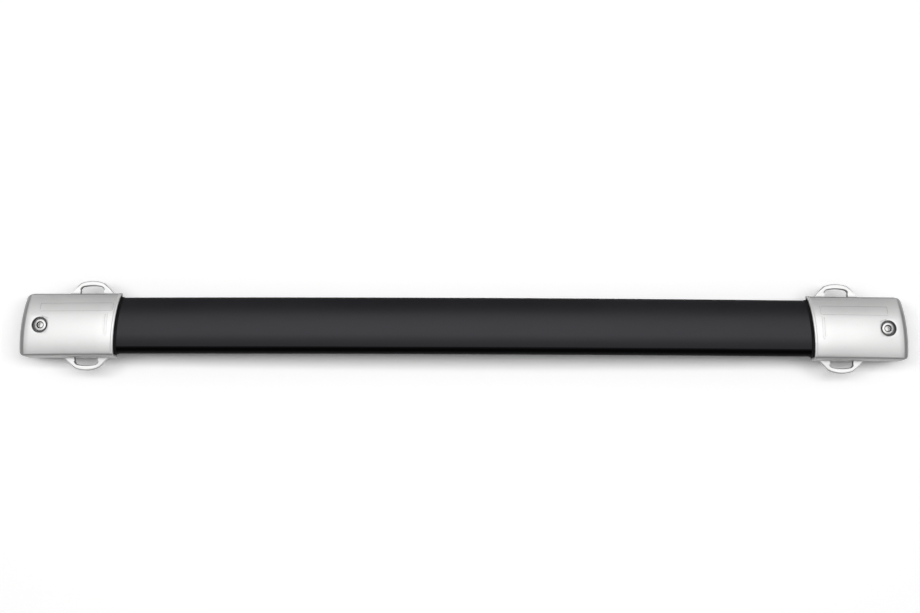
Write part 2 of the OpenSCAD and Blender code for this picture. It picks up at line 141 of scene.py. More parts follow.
# joins all pieces into the first one
def joinPieces(first, *others):
    pick(first)
    for item in others:
        item.select_set(True)
    bpy.ops.object.join()
    return first


def finishMesh(piece, smoothAngle):
    editMode(piece)
    bpy.ops.mesh.select_all(action="SELECT")
    bpy.ops.mesh.normals_make_consistent(inside=False)
    objectMode()
    pick(piece)
    bpy.ops.object.shade_smooth_by_angle(angle=math.radians(smoothAngle))


# the left foot mirrors the right one
def mirrored(piece, name):
    mesh = piece.data.copy()
    twin = bpy.data.objects.new(name, mesh)
    bpy.context.scene.collection.objects.link(twin)
    mesh.transform(Matrix.Scale(-1, 4, (1, 0, 0)))
    mesh.flip_normals()
    return twin


# a threaded piece is carried over as it is, so its thread keeps its hand
def shifted(piece, name):
    mesh = piece.data.copy()
    twin = bpy.data.objects.new(name, mesh)
    bpy.context.scene.collection.objects.link(twin)
    mesh.transform(Matrix.Translation((-2 * foot["screwX"], 0, 0)))
    return twin


# puts a finish, a body and the replaced node on both feet's copies of a piece
def dressBothSides(piece, partName, finish, body, nodes=(), copier=mirrored,
                   leftFinish=None):
    left = copier(piece, "left_" + partName)
    piece.name = "right_" + partName
    for side, item in (("right", piece), ("left", left)):
        item.data.name = item.name
        item.data.materials.clear()
        item.data.materials.append(leftFinish if leftFinish and side == "left" else finish)
        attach(item, "crossbar" if body == "crossbar" else side + "_" + body)
        if nodes:
            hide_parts(*[side + "_" + n for n in nodes])


def newFinish(name):
    finish = bpy.data.materials.new(name)
    finish.use_nodes = True
    nodes, links = finish.node_tree.nodes, finish.node_tree.links
    shader = nodes["Principled BSDF"]
    place = nodes.new("ShaderNodeTexCoord")
    return finish, nodes, links, shader, place.outputs["Object"]


def stretched(nodes, links, coords, scale):
    mapping = nodes.new("ShaderNodeMapping")
    mapping.inputs["Scale"].default_value = scale
    links.new(coords, mapping.inputs["Vector"])
    return mapping.outputs["Vector"]


def noise(nodes, links, coords, scale, detail=3, rough=0.5):
    texture = nodes.new("ShaderNodeTexNoise")
    texture.inputs["Scale"].default_value = scale
    texture.inputs["Detail"].default_value = detail
    texture.inputs["Roughness"].default_value = rough
    links.new(coords, texture.inputs["Vector"])
    return texture.outputs["Fac"]


def remap(nodes, links, value, low, high, outLow, outHigh):
    node = nodes.new("ShaderNodeMapRange")
    node.inputs["From Min"].default_value = low
    node.inputs["From Max"].default_value = high
    node.inputs["To Min"].default_value = outLow
    node.inputs["To Max"].default_value = outHigh
    links.new(value, node.inputs["Value"])
    return node.outputs["Result"]


def between(nodes, links, factor, first, second):
    node = nodes.new("ShaderNodeMix")
    node.data_type = "RGBA"
    for socket, value in (("A_Color", first), ("B_Color", second)):
        target = next(i for i in node.inputs if i.identifier == socket)
        if isinstance(value, tuple):
            target.default_value = (*value, 1)
        else:
            links.new(value, target)
    links.new(factor, next(i for i in node.inputs if i.identifier == "Factor_Float"))
    return next(o for o in node.outputs if o.identifier == "Result_Color")


def surfaceNormal(nodes, links):
    surface = nodes.new("ShaderNodeNewGeometry")
    split = nodes.new("ShaderNodeSeparateXYZ")
    links.new(surface.outputs["Normal"], split.inputs[0])
    return split.outputs


# 1 where the surface lies flat, 0 where it stands steep
def flatness(nodes, links, steep, flat):
    return remap(nodes, links, surfaceNormal(nodes, links)["Z"], steep, flat, 0, 1)


def joined(nodes, links, operation, first, second):
    node = nodes.new("ShaderNodeMath")
    node.operation = operation
    links.new(first, node.inputs[0])
    links.new(second, node.inputs[1])
    return node.outputs[0]


def largest(nodes, links, first, second):
    return joined(nodes, links, "MAXIMUM", first, second)


def product(nodes, links, first, second):
    return joined(nodes, links, "MULTIPLY", first, second)


# 1 deep in a corner, 0 where the surface lies open
def inCorner(nodes, links, reach, deep, shallow):
    corner = nodes.new("ShaderNodeAmbientOcclusion")
    corner.samples = 6
    corner.inputs["Distance"].default_value = reach
    return remap(nodes, links, corner.outputs["AO"], deep, shallow, 1, 0)


def bump(nodes, links, height, strength, distance, before=None):
    node = nodes.new("ShaderNodeBump")
    node.inputs["Strength"].default_value = strength
    node.inputs["Distance"].default_value = distance
    links.new(height, node.inputs["Height"])
    if before is not None:
        links.new(before, node.inputs["Normal"])
    return node.outputs["Normal"]


noiseSwing = (0.3, 0.7)     # where most of a noise texture's values lie

anodised = {
    "dark": (0.0055, 0.0055, 0.0063), "light": (0.0095, 0.0095, 0.0112),
    "cloudScale": 9, "rough": (0.36, 0.45), "roughFrom": (0.1, 0.45),
    "dieStretch": (1.5, 420, 420), "dieScale": 3, "dieLines": 0.06, "dieDepth": 0.0004,
    "grainScale": 2600, "grain": 0.10, "grainDepth": 0.0001,
    # edge is a painted shade tone that the bar's front and steep faces are darkened to
    "edge": (0.0012, 0.0012, 0.0014), "steep": 0.5, "flat": 0.96, "paintedFrontShade": (-0.05, -0.45),
    "sideSheen": 0.03, "topSheen": 0.50, "sheenTint": (0.93, 0.92, 1.0, 1),
}


# black anodised extrusion: die lines run along the bar, over a fine etched grain
def makeBarFinish():
    finish, nodes, links, shader, coords = newFinish("anodisedBlack")
    alongBar = stretched(nodes, links, coords, anodised["dieStretch"])
    lines = noise(nodes, links, alongBar, anodised["dieScale"], 4, 0.6)
    grain = noise(nodes, links, coords, anodised["grainScale"], 2)
    cloud = noise(nodes, links, coords, anodised["cloudScale"], 3)
    # painted shade: the front and steep faces darken towards the edge tone, and the same mask
    # turns their sheen down, a painted dimming of the reflection
    paintedFrontShade = remap(nodes, links, surfaceNormal(nodes, links)["Y"], *anodised["paintedFrontShade"], 1, 0)
    flat = flatness(nodes, links, anodised["steep"], anodised["flat"])
    paintedShadeAndSheen = product(nodes, links, flat, paintedFrontShade)
    tone = between(nodes, links, cloud, anodised["dark"], anodised["light"])
    links.new(between(nodes, links, paintedShadeAndSheen, anodised["edge"], tone), shader.inputs["Base Color"])
    shade = product(nodes, links, lines, cloud)
    rough = remap(nodes, links, shade, *anodised["roughFrom"], *anodised["rough"])
    links.new(rough, shader.inputs["Roughness"])
    normal = bump(nodes, links, lines, anodised["dieLines"], anodised["dieDepth"])
    normal = bump(nodes, links, grain, anodised["grain"], anodised["grainDepth"], normal)
    links.new(normal, shader.inputs["Normal"])
    level = remap(nodes, links, paintedShadeAndSheen, 0, 1, anodised["sideSheen"], anodised["topSheen"])
    links.new(level, shader.inputs["Specular IOR Level"])
    shader.inputs["Specular Tint"].default_value = anodised["sheenTint"]
    return finish


castPaint = {
    "light": (0.92, 0.92, 0.915), "dull": (0.88, 0.88, 0.875), "dirt": (0.40, 0.40, 0.39),
    "cloudScale": 16, "speckScale": 900, "specks": (0.70, 0.78), "speckMost": 0.5,
    "castCornerShade": (0.10, 0.10, 0.10), "castShadeReach": 0.006, "castShadeFrom": (0.15, 0.75),
    # side is a painted shade tone for the ends, the front and steep faces
    "side": (0.42, 0.42, 0.418),
    "ends": (0.14, 0.30), "front": (-0.34, -0.5), "steep": (0.88, 0.45),
    "rear": (0.55, 0.85), "rearTone": (0.24, 0.24, 0.24),
    "rough": (0.38, 0.46), "metal": 0.7, "peelScale": 240, "peel": 0.10, "peelDepth": 0.0006,
    "flakeScale": 5200, "flake": 0.12, "flakeDepth": 0.00008,
}


# painted shade: how much of the darker side tone shows, on the ends, on the front and on steep
# faces
def paintedSideShade(nodes, links, frontOnly):
    normal = surfaceNormal(nodes, links)
    front = remap(nodes, links, normal["Y"], *castPaint["front"], 0, 1)
    if frontOnly:
        return front
    endwards = nodes.new("ShaderNodeMath")
    endwards.operation = "ABSOLUTE"
    links.new(normal["X"], endwards.inputs[0])
    ends = remap(nodes, links, endwards.outputs[0], *castPaint["ends"], 0, 1)
    steep = remap(nodes, links, normal["Z"], *castPaint["steep"], 0, 1)
    return largest(nodes, links, largest(nodes, links, ends, front), steep)


# silver paint on a die casting: fine flake, slight orange peel, a few dull specks
def makeCastFinish(name, frontOnly):
    finish, nodes, links, shader, coords = newFinish(name)
    peel = noise(nodes, links, coords, castPaint["peelScale"], 2)
    flake = noise(nodes, links, coords, castPaint["flakeScale"], 1)
    cloud = noise(nodes, links, coords, castPaint["cloudScale"], 4, 0.6)
    dots = noise(nodes, links, coords, castPaint["speckScale"], 2)
    specks = remap(nodes, links, dots, *castPaint["specks"], 0, castPaint["speckMost"])
    tone = between(nodes, links, cloud, castPaint["dull"], castPaint["light"])
    tone = between(nodes, links, specks, tone, castPaint["dirt"])
    # painted shade on the ends, the front and steep faces
    tone = between(nodes, links, paintedSideShade(nodes, links, frontOnly), tone, castPaint["side"])
    # painted shade: faces that turn to the rear are darkened
    rear = remap(nodes, links, surfaceNormal(nodes, links)["Y"], *castPaint["rear"], 0, 1)
    tone = between(nodes, links, rear, tone, castPaint["rearTone"])
    # painted shade: corners and recesses are darkened by ambient occlusion
    castShade = inCorner(nodes, links, castPaint["castShadeReach"], *castPaint["castShadeFrom"])
    tone = between(nodes, links, castShade, tone, castPaint["castCornerShade"])
    links.new(tone, shader.inputs["Base Color"])
    rough = remap(nodes, links, cloud, *noiseSwing, *castPaint["rough"])
    links.new(rough, shader.inputs["Roughness"])
    shader.inputs["Metallic"].default_value = castPaint["metal"]
    normal = bump(nodes, links, peel, castPaint["peel"], castPaint["peelDepth"])
    normal = bump(nodes, links, flake, castPaint["flake"], castPaint["flakeDepth"], normal)
    links.new(normal, shader.inputs["Normal"])
    return finish


rubber = {
    "dark": (0.003, 0.003, 0.003), "dusty": (0.010, 0.010, 0.0095), "dustScale": 60,
    "dustFrom": (0.45, 0.75), "rough": (0.62, 0.82), "sheen": 0.2,
    "poreScale": 1800, "pores": 0.25, "poreDepth": 0.0002,
}


# moulded rubber: matt skin with dust in its pores
def makeRubberFinish():
    finish, nodes, links, shader, coords = newFinish("mouldedRubber")
    pores = noise(nodes, links, coords, rubber["poreScale"], 3, 0.65)
    dust = noise(nodes, links, coords, rubber["dustScale"], 5, 0.6)
    dusty = remap(nodes, links, dust, *rubber["dustFrom"], 0, 1)
    tone = between(nodes, links, dusty, rubber["dark"], rubber["dusty"])
    links.new(tone, shader.inputs["Base Color"])
    rough = remap(nodes, links, pores, *noiseSwing, *rubber["rough"])
    links.new(rough, shader.inputs["Roughness"])
    normal = bump(nodes, links, pores, rubber["pores"], rubber["poreDepth"])
    links.new(normal, shader.inputs["Normal"])
    shader.inputs["Specular IOR Level"].default_value = rubber["sheen"]
    return finish


blackCoat = {
    "dark": (0.012, 0.012, 0.013), "worn": (0.05, 0.05, 0.052), "wearScale": 90,
    "wearFrom": (0.55, 0.8), "rough": (0.42, 0.6),
    "sandScale": 1100, "sand": 0.35, "sandDepth": 0.0003,
}


# black dip coat on a rough casting
def makeCoatFinish():
    finish, nodes, links, shader, coords = newFinish("blackDipCoat")
    sand = noise(nodes, links, coords, blackCoat["sandScale"], 4, 0.7)
    patches = noise(nodes, links, coords, blackCoat["wearScale"], 4)
    worn = remap(nodes, links, patches, *blackCoat["wearFrom"], 0, 1)
    tone = between(nodes, links, worn, blackCoat["dark"], blackCoat["worn"])
    links.new(tone, shader.inputs["Base Color"])
    rough = remap(nodes, links, sand, *noiseSwing, *blackCoat["rough"])
    links.new(rough, shader.inputs["Roughness"])
    normal = bump(nodes, links, sand, blackCoat["sand"], blackCoat["sandDepth"])
    links.new(normal, shader.inputs["Normal"])
    return finish


screwSteel = {
    "light": (0.90, 0.895, 0.89), "dark": (0.66, 0.655, 0.65), "stainScale": 500,
    "rough": (0.24, 0.36), "steepShadeTone": (0.06, 0.058, 0.056), "steep": 0.70, "flat": 0.86,
    "ringScale": 900, "ringWobble": 1.5, "rings": 0.12, "ringDepth": 0.00005,
}


# turned steel: fine rings around the screw, a few stains, painted shade on what stands steep
def makeScrewFinish(name, middle):
    finish, nodes, links, shader, coords = newFinish(name)
    mapping = nodes.new("ShaderNodeMapping")
    mapping.inputs["Location"].default_value = (-middle, 0, 0)
    links.new(coords, mapping.inputs["Vector"])
    rings = nodes.new("ShaderNodeTexWave")
    rings.wave_type = "RINGS"
    rings.rings_direction = "Z"
    rings.inputs["Scale"].default_value = screwSteel["ringScale"]
    rings.inputs["Distortion"].default_value = screwSteel["ringWobble"]
    links.new(mapping.outputs["Vector"], rings.inputs["Vector"])
    stains = noise(nodes, links, coords, screwSteel["stainScale"], 4, 0.6)
    tone = between(nodes, links, stains, screwSteel["dark"], screwSteel["light"])
    # painted shade: steep faces such as the socket walls are darkened
    flat = flatness(nodes, links, screwSteel["steep"], screwSteel["flat"])
    links.new(between(nodes, links, flat, screwSteel["steepShadeTone"], tone), shader.inputs["Base Color"])
    rough = remap(nodes, links, stains, *noiseSwing, *screwSteel["rough"])
    links.new(rough, shader.inputs["Roughness"])
    normal = bump(nodes, links, rings.outputs["Fac"], screwSteel["rings"], screwSteel["ringDepth"])
    links.new(normal, shader.inputs["Normal"])
    shader.inputs["Metallic"].default_value = 1.0
    return finish


zinc = {
    "light": (0.66, 0.67, 0.70), "dark": (0.46, 0.48, 0.52), "patchScale": 300,
    "patches": 0.1, "patchDepth": 0.0001,
    "rough": (0.26, 0.42), "cellScale": 700, "cellReach": (0, 0.8),
    "zincCornerShade": (0.05, 0.048, 0.045), "zincShadeReach": 0.008, "zincShadeFrom": (0.2, 0.7),
}


# bright zinc plating: faint blue-grey crystal patches, with painted shade in the corners
def makeZincFinish():
    finish, nodes, links, shader, coords = newFinish("zincPlate")
    cells = nodes.new("ShaderNodeTexVoronoi")
    cells.inputs["Scale"].default_value = zinc["cellScale"]
    links.new(coords, cells.inputs["Vector"])
    patches = noise(nodes, links, coords, zinc["patchScale"], 4, 0.6)
    tone = between(nodes, links, patches, zinc["dark"], zinc["light"])
    # painted shade: corners are darkened by ambient occlusion
    zincShade = inCorner(nodes, links, zinc["zincShadeReach"], *zinc["zincShadeFrom"])
    links.new(between(nodes, links, zincShade, tone, zinc["zincCornerShade"]), shader.inputs["Base Color"])
    rough = remap(nodes, links, cells.outputs["Distance"], *zinc["cellReach"], *zinc["rough"])
    links.new(rough, shader.inputs["Roughness"])
    normal = bump(nodes, links, patches, zinc["patches"], zinc["patchDepth"])
    links.new(normal, shader.inputs["Normal"])
    shader.inputs["Metallic"].default_value = 1.0
    return finish


barFinish = makeBarFinish()
castFinish = makeCastFinish("silverCast", False)
# the lip's copy paints the shade on its front only
lipFinish = makeCastFinish("silverLip", True)
rubberFinish = makeRubberFinish()
coatFinish = makeCoatFinish()
rightScrewFinish = makeScrewFinish("turnedSteelRight", foot["screwX"])
leftScrewFinish = makeScrewFinish("turnedSteelLeft", -foot["screwX"])
zincFinish = makeZincFinish()
finishOfSlot = {
    "black_bar": barFinish, "cast_silver": castFinish, "rubber": rubberFinish,
    "black_casting": coatFinish, "screw_steel": rightScrewFinish, "zinc_steel": zincFinish,
}
for part in frame["record"]["subparts"]:
    node = frame["nodes"][part["node"]]
    node.data.materials.clear()
    node.data.materials.append(finishOfSlot[part["material_slot"]])
print("finishes made:", len(finishOfSlot))


# the leaning wall has rows of lowest z, highest z and shift, in mm
casting = {
    "wallDepth": 3.6 * mm, "leaningWall": ((-20, -4, 5.0), (-4, 5.6, 2.2)),
    "loopsBehind": 40.9 * mm, "loopsBefore": -39.5 * mm, "loopEdge": 1.4 * mm,
    "baseEdge": 0.8 * mm, "coverEdge": 0.4 * mm, "jawEdge": 0.6 * mm,
    "flatAngle": 1.2, "edgeAngle": 38, "smoothAngle": 32, "quadAngle": 2, "quadShape": 60,
    "collar": 12 * mm, "wellR": 9.75 * mm, "wellRimAbove": 50 * mm, "rimChamfer": 0.7 * mm,
    "rimNear": 0.05 * mm,
}


# bevels the sharp edges, after joining flat faces unless they carry the shading
def softenEdges(piece, width, merge=True):
    if merge:
        editMode(piece)
        bpy.ops.mesh.select_all(action="SELECT")
        bpy.ops.mesh.dissolve_limited(angle_limit=math.radians(casting["flatAngle"]))
        objectMode()
    bevel = piece.modifiers.new("edge", "BEVEL")
    bevel.width = width
    bevel.segments = 2
    bevel.limit_method = "ANGLE"
    bevel.angle_limit = math.radians(casting["edgeAngle"])
    bevel.use_clamp_overlap = True
    bevel.harden_normals = False
    applyAll(piece)
    editMode(piece)
    bpy.ops.mesh.select_all(action="SELECT")
    bpy.ops.mesh.quads_convert_to_tris()
    bpy.ops.mesh.remove_doubles(threshold=weld)
    objectMode()
    pick(piece)
    bpy.ops.object.shade_smooth_by_angle(angle=math.radians(casting["smoothAngle"]))


base = copyOfNode("right_foot_base", "footBase")
editMode(base, "FACE")
bpy.ops.mesh.select_all(action="SELECT")
bpy.ops.mesh.dissolve_limited(angle_limit=math.radians(casting["flatAngle"]))
intoFoot = footToRow().inverted()


def inWall(v, low, high):
    place = intoFoot @ v.co
    return place.x + place.y * lean < casting["wallDepth"] and low * mm < place.z < high * mm


# the wall under the mouth leans back, more at its foot
bpy.ops.mesh.select_mode(type="VERT")
for low, high, back in casting["leaningWall"]:
    if selectWhere(base, "vert", lambda v: inWall(v, low, high)):
        bpy.ops.transform.translate(value=(back * mm, 0, 0))


def onLoop(v):
    return v.co.y > casting["loopsBehind"] or v.co.y < casting["loopsBefore"]


bpy.ops.mesh.select_mode(type="EDGE")
selectWhere(base, "edge", lambda e: isCorner(e) and all(onLoop(v) for v in e.verts))
bpy.ops.mesh.bevel(offset=casting["loopEdge"], segments=3, affect="EDGES")
objectMode()
softenEdges(base, casting["baseEdge"])
dressBothSides(base, "base_casting", castFinish, "crossbar", ["foot_base"])

cover = copyOfNode("right_end_cover", "endCover")
editMode(cover)
bpy.ops.mesh.select_all(action="SELECT")
bpy.ops.mesh.tris_convert_to_quads(face_threshold=math.radians(casting["quadAngle"]),
                                   shape_threshold=math.radians(casting["quadShape"]))
collar = casting["collar"]
# cuts on four sides of the well keep its long triangles off the cover's shading
for place, way in (((foot["screwX"] - collar, 0, 0), (1, 0, 0)),
                   ((foot["screwX"] + collar, 0, 0), (1, 0, 0)),
                   ((0, collar, 0), (0, 1, 0)), ((0, -collar, 0), (0, 1, 0))):
    bpy.ops.mesh.select_all(action="SELECT")
    bpy.ops.mesh.bisect(plane_co=place, plane_no=way)
bpy.ops.mesh.select_mode(type="EDGE")


def onWellRim(v):
    off = math.hypot(v.co.x - foot["screwX"], v.co.y) - casting["wellR"]
    return abs(off) < casting["rimNear"] and v.co.z > casting["wellRimAbove"]


selectWhere(cover, "edge", lambda e: all(onWellRim(v) for v in e.verts) and isCorner(e))
bpy.ops.mesh.bevel(offset=casting["rimChamfer"], segments=3, affect="EDGES")
objectMode()
softenEdges(cover, casting["coverEdge"], merge=False)
coverTree = BVHTree.FromPolygons([v.co for v in cover.data.vertices],
                                 [p.vertices for p in cover.data.polygons])
dressBothSides(cover, "cover_casting", castFinish, "crossbar", ["end_cover"])

jaw = copyOfNode("right_clamp_jaw", "clampJaw")
softenEdges(jaw, casting["jawEdge"])
dressBothSides(jaw, "jaw_casting", coatFinish, "jaw", ["clamp_jaw"])
print("castings softened")


marks = {
    "frameCorner": 2.4 * mm, "line": 1.8 * mm, "proud": 0.35 * mm, "sunk": 0.4 * mm,
    "longest": 4 * mm, "mostCuts": 5, "dropFrom": 0.2, "drawnAt": 0.07, "smoothAngle": 40,
    "right": {"frameFrom": (436.6 * mm, 16.1 * mm), "frameTo": (523.4 * mm, 28.6 * mm),
              "arrowX": 440 * mm, "arrowFrom": -11.5 * mm, "arrowTo": 13.7 * mm},
    "left": {"frameFrom": (430.3 * mm, 17.1 * mm), "frameTo": (523.7 * mm, 28.8 * mm),
             "arrowX": 438.6 * mm, "arrowFrom": -11.5 * mm, "arrowTo": 14 * mm},
    "arrowW": 4.8 * mm, "arrowTip": 3.2 * mm,
}


# lays a flat outline on the cover's top and gives it a rounded ridge
def drape(piece):
    editMode(piece, "EDGE")
    bpy.ops.mesh.select_all(action="SELECT")
    bpy.ops.mesh.subdivide(number_cuts=1)
    objectMode()
    for vertex in piece.data.vertices:
        hit = coverTree.ray_cast(Vector((vertex.co.x, vertex.co.y, marks["dropFrom"])),
                                 Vector((0, 0, -1)))
        vertex.co.z = hit[0].z - marks["sunk"]
    solid = piece.modifiers.new("proud", "SOLIDIFY")
    solid.thickness = marks["sunk"] + marks["proud"]
    solid.offset = 1
    applyAll(piece)
    finishMesh(piece, marks["smoothAngle"])


# a flat outline with round corners, or with a tip towards the front
def markOutline(name, middle, size, corner, tip=0):
    deselectAll()
    bpy.ops.mesh.primitive_plane_add(size=1, location=(*middle, marks["drawnAt"]))
    piece = bpy.context.object
    piece.name = name
    piece.scale = (size[0], size[1], 1)
    bpy.ops.object.transform_apply(location=True, rotation=False, scale=True)
    editMode(piece, "EDGE")
    if tip:
        frontX, frontY = middle[0], middle[1] - size[1] / 2
        selectWhere(piece, "edge", lambda e: all(abs(v.co.y - frontY) < onSpot for v in e.verts))
        bpy.ops.mesh.subdivide(number_cuts=1)
        selectWhere(piece, "vert",
                    lambda v: math.hypot(v.co.x - frontX, v.co.y - frontY) < onSpot)
        bpy.ops.transform.translate(value=(0, -tip, 0))
    else:
        bpy.ops.mesh.select_all(action="SELECT")
        bpy.ops.mesh.bevel(offset=corner, segments=4, affect="VERTICES")
    bpy.ops.mesh.select_mode(type="FACE")
    bpy.ops.mesh.select_all(action="SELECT")
    bpy.ops.mesh.inset(thickness=marks["line"] / 2)
    bpy.ops.mesh.inset(thickness=marks["line"] / 2)
    bpy.ops.mesh.delete(type="FACE")
    bpy.ops.mesh.select_mode(type="EDGE")
    for _ in range(marks["mostCuts"]):
        if not selectWhere(piece, "edge", lambda e: e.calc_length() > marks["longest"]):
            break
        bpy.ops.mesh.subdivide(number_cuts=1)
    objectMode()
    return piece


# the two feet carry the same marks, each at its own place
def dressOneSide(piece, side, partName, finish):
    if side == "left":
        twin = mirrored(piece, "left_" + partName)
        bpy.data.objects.remove(piece)
        piece = twin
    piece.name = side + "_" + partName
    piece.data.name = piece.name
    piece.data.materials.clear()
    piece.data.materials.append(finish)
    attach(piece, "crossbar")


for side in ("right", "left"):
    at = marks[side]
    frameMiddle = tuple((a + b) / 2 for a, b in zip(at["frameFrom"], at["frameTo"]))
    frameSize = [b - a for a, b in zip(at["frameFrom"], at["frameTo"])]
    panel = markOutline("panelFrame", frameMiddle, frameSize, marks["frameCorner"])
    drape(panel)
    dressOneSide(panel, side, "panel_frame", castFinish)
    arrowMiddle = (at["arrowX"], (at["arrowFrom"] + at["arrowTo"]) / 2)
    arrowSize = (marks["arrowW"], at["arrowTo"] - at["arrowFrom"])
    arrow = markOutline("arrowMark", arrowMiddle, arrowSize, 0, marks["arrowTip"])
    drape(arrow)
    dressOneSide(arrow, side, "arrow_mark", castFinish)
print("marks raised on the covers")


# middles and radii of the arcs, across the foot and up
section = {
    "nose": (-23.5 * mm, 11.5 * mm), "noseR": 11.5 * mm,
    "tail": (28 * mm, 7 * mm), "tailR": 7 * mm,
    "crown": (-8.105 * mm, -46.75 * mm), "crownR": 71.75 * mm, "steps": 24,    # on each arc
}
skin = {
    "halfW": 38.3 * mm, "rearRoom": 1.4 * mm, "draft": 0.7 * mm, "edgeR": 5 * mm,
    "topR": 75.05 * mm, "parting": 5.1 * mm, "edgeSteps": 10, "topSteps": 40,
}
# a ring has its place along the foot and its height over the cover, in mm
lip = {
    "rings": ((0.25, -0.9), (0.25, 0.1), (0.5, 0.36), (1.0, 0.5), (1.7, 0.55),
              (2.4, 0.5), (2.9, 0.36), (3.2, 0.1), (3.3, -0.9)),
    "smoothAngle": 50,
}


def onArc(centre, radius, angle):
    return centre[0] + radius * math.cos(angle), centre[1] + radius * math.sin(angle)


def angleFrom(centre, point):
    return math.atan2(point[1] - centre[1], point[0] - centre[0])


# the cover's outline in the foot's frame, grown by "off", from the front wall over the crown
def coverOutline(off):
    crown = section["crown"]
    edge, top = skin["edgeR"] + off, skin["topR"] + off
    rearHalfW = skin["halfW"] + skin["rearRoom"]
    centres = []
    for side, width in ((-1, skin["halfW"]), (1, rearHalfW)):
        y = side * (width - skin["edgeR"])
        rise = math.sqrt((skin["topR"] - skin["edgeR"]) ** 2 - (y - crown[0]) ** 2)
        centres.append((y, crown[1] + rise))
    first, last = (angleFrom(crown, c) for c in centres)
    points = [(-skin["halfW"] - skin["draft"] - off, skin["parting"])]
    for centre, radius, start, end, steps in (
            (centres[0], edge, math.pi, first, skin["edgeSteps"]),
            (crown, top, first, last, skin["topSteps"]),
            (centres[1], edge, last, 0, skin["edgeSteps"])):
        for i in range(steps + (centre is centres[1])):
            points.append(onArc(centre, radius, start + (end - start) * i / steps))
    points.append((rearHalfW + skin["draft"] + off, skin["parting"]))
    return points


# an outline that is extruded along the foot and reshaped from ring to ring
def sweptOutline(name, outline, rings, closed):
    def ring(index):
        x, off = rings[index]
        return [Vector((x * mm - y * lean, y, z)) for y, z in outline(off * mm)]

    first = ring(0)
    deselectAll()
    bpy.ops.mesh.primitive_circle_add(vertices=len(first), fill_type="NOTHING")
    piece = bpy.context.object
    piece.name = name
    for vertex, place in zip(piece.data.vertices, first):
        vertex.co = place
    editMode(piece, "EDGE")
    if not closed:
        span = (first[-1] - first[0]).length
        selectWhere(piece, "edge", lambda e: e.calc_length() > span - weld)
        bpy.ops.mesh.delete(type="EDGE_FACE")
    bpy.ops.mesh.select_mode(type="VERT")
    bpy.ops.mesh.select_all(action="SELECT")
    for index in range(1, len(rings)):
        bpy.ops.mesh.extrude_region_move()
        mesh = bmesh.from_edit_mesh(piece.data)
        before, after = ring(index - 1), ring(index)
        for vertex in (v for v in mesh.verts if v.select):
            nearest = min(range(len(before)), key=lambda i: (before[i] - vertex.co).length)
            vertex.co = after[nearest]
        bmesh.update_edit_mesh(piece.data)
    objectMode()
    return piece


mouthLip = sweptOutline("mouthLip", coverOutline, lip["rings"], False)
placeIn(mouthLip, footToRow())
finishMesh(mouthLip, lip["smoothAngle"])
dressBothSides(mouthLip, "mouth_lip", lipFinish, "crossbar")


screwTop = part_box("right_clamp_screw")[1].z
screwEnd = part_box("right_clamp_screw")[0].z
screw = {
    "headR": 7 * mm, "headH": 4.4 * mm, "rim": 3.3 * mm, "rimEdge": 0.3 * mm,
    "domeR": (6.85 * mm, 6.6 * mm, 5.8 * mm, 5.1 * mm), "sinkR": 4.5 * mm,
    "sinkDepth": 1.6 * mm, "sinkFloorR": 3.1 * mm, "underEdge": 0.25 * mm, "underStep": 0.01 * mm,
    "hex": 5.1 * mm, "hexDepth": 3.0 * mm, "hexTurn": 0.4, "hexOver": 2 * mm,
    "shankR": 4 * mm, "coreR": 3.3 * mm, "plainTo": 29.4 * mm, "runOut": 0.6 * mm,
    "tipR": 2.5 * mm, "tipH": 0.9 * mm, "sides": 48, "smoothAngle": 32,
}
winding = {
    "pitch": 1.25 * mm, "halfWidth": 0.56 * mm, "inCore": 0.05 * mm, "belowShank": 0.02 * mm,
    "fromTip": 1.6 * mm, "belowPlain": 0.8 * mm, "steps": 28,
}


# a turned body: a disc that is extruded and scaled from ring to ring
def turned(name, x, y, rings, sides):
    deselectAll()
    bpy.ops.mesh.primitive_circle_add(vertices=sides, radius=rings[0][0], fill_type="NGON",
                                      location=(x, y, rings[0][1]))
    piece = bpy.context.object
    piece.name = name
    bpy.ops.object.transform_apply(location=True, rotation=False, scale=True)
    editMode(piece, "FACE")
    bpy.ops.mesh.select_all(action="SELECT")
    for (r0, z0), (r1, z1) in zip(rings, rings[1:]):
        bpy.ops.mesh.extrude_region_move(TRANSFORM_OT_translate={"value": (0, 0, z1 - z0)})
        scale = r1 / r0
        bpy.ops.transform.resize(value=(scale, scale, 1), center_override=(x, y, z1))
    objectMode()
    return piece


def cut(piece, tool, operation="DIFFERENCE"):
    boolean = piece.modifiers.new("cut", "BOOLEAN")
    boolean.operation = operation
    boolean.solver = "EXACT"
    boolean.object = tool
    applyAll(piece)
    bpy.data.objects.remove(tool)


def hexPrism(x, y, low, high, acrossFlats, turn):
    deselectAll()
    cornerR = acrossFlats / 2 / math.cos(math.pi / 6)
    bpy.ops.mesh.primitive_cylinder_add(vertices=6, radius=cornerR, depth=high - low,
                                        location=(x, y, (low + high) / 2), rotation=(0, 0, turn))
    prism = bpy.context.object
    bpy.ops.object.transform_apply(location=True, rotation=True, scale=True)
    return prism


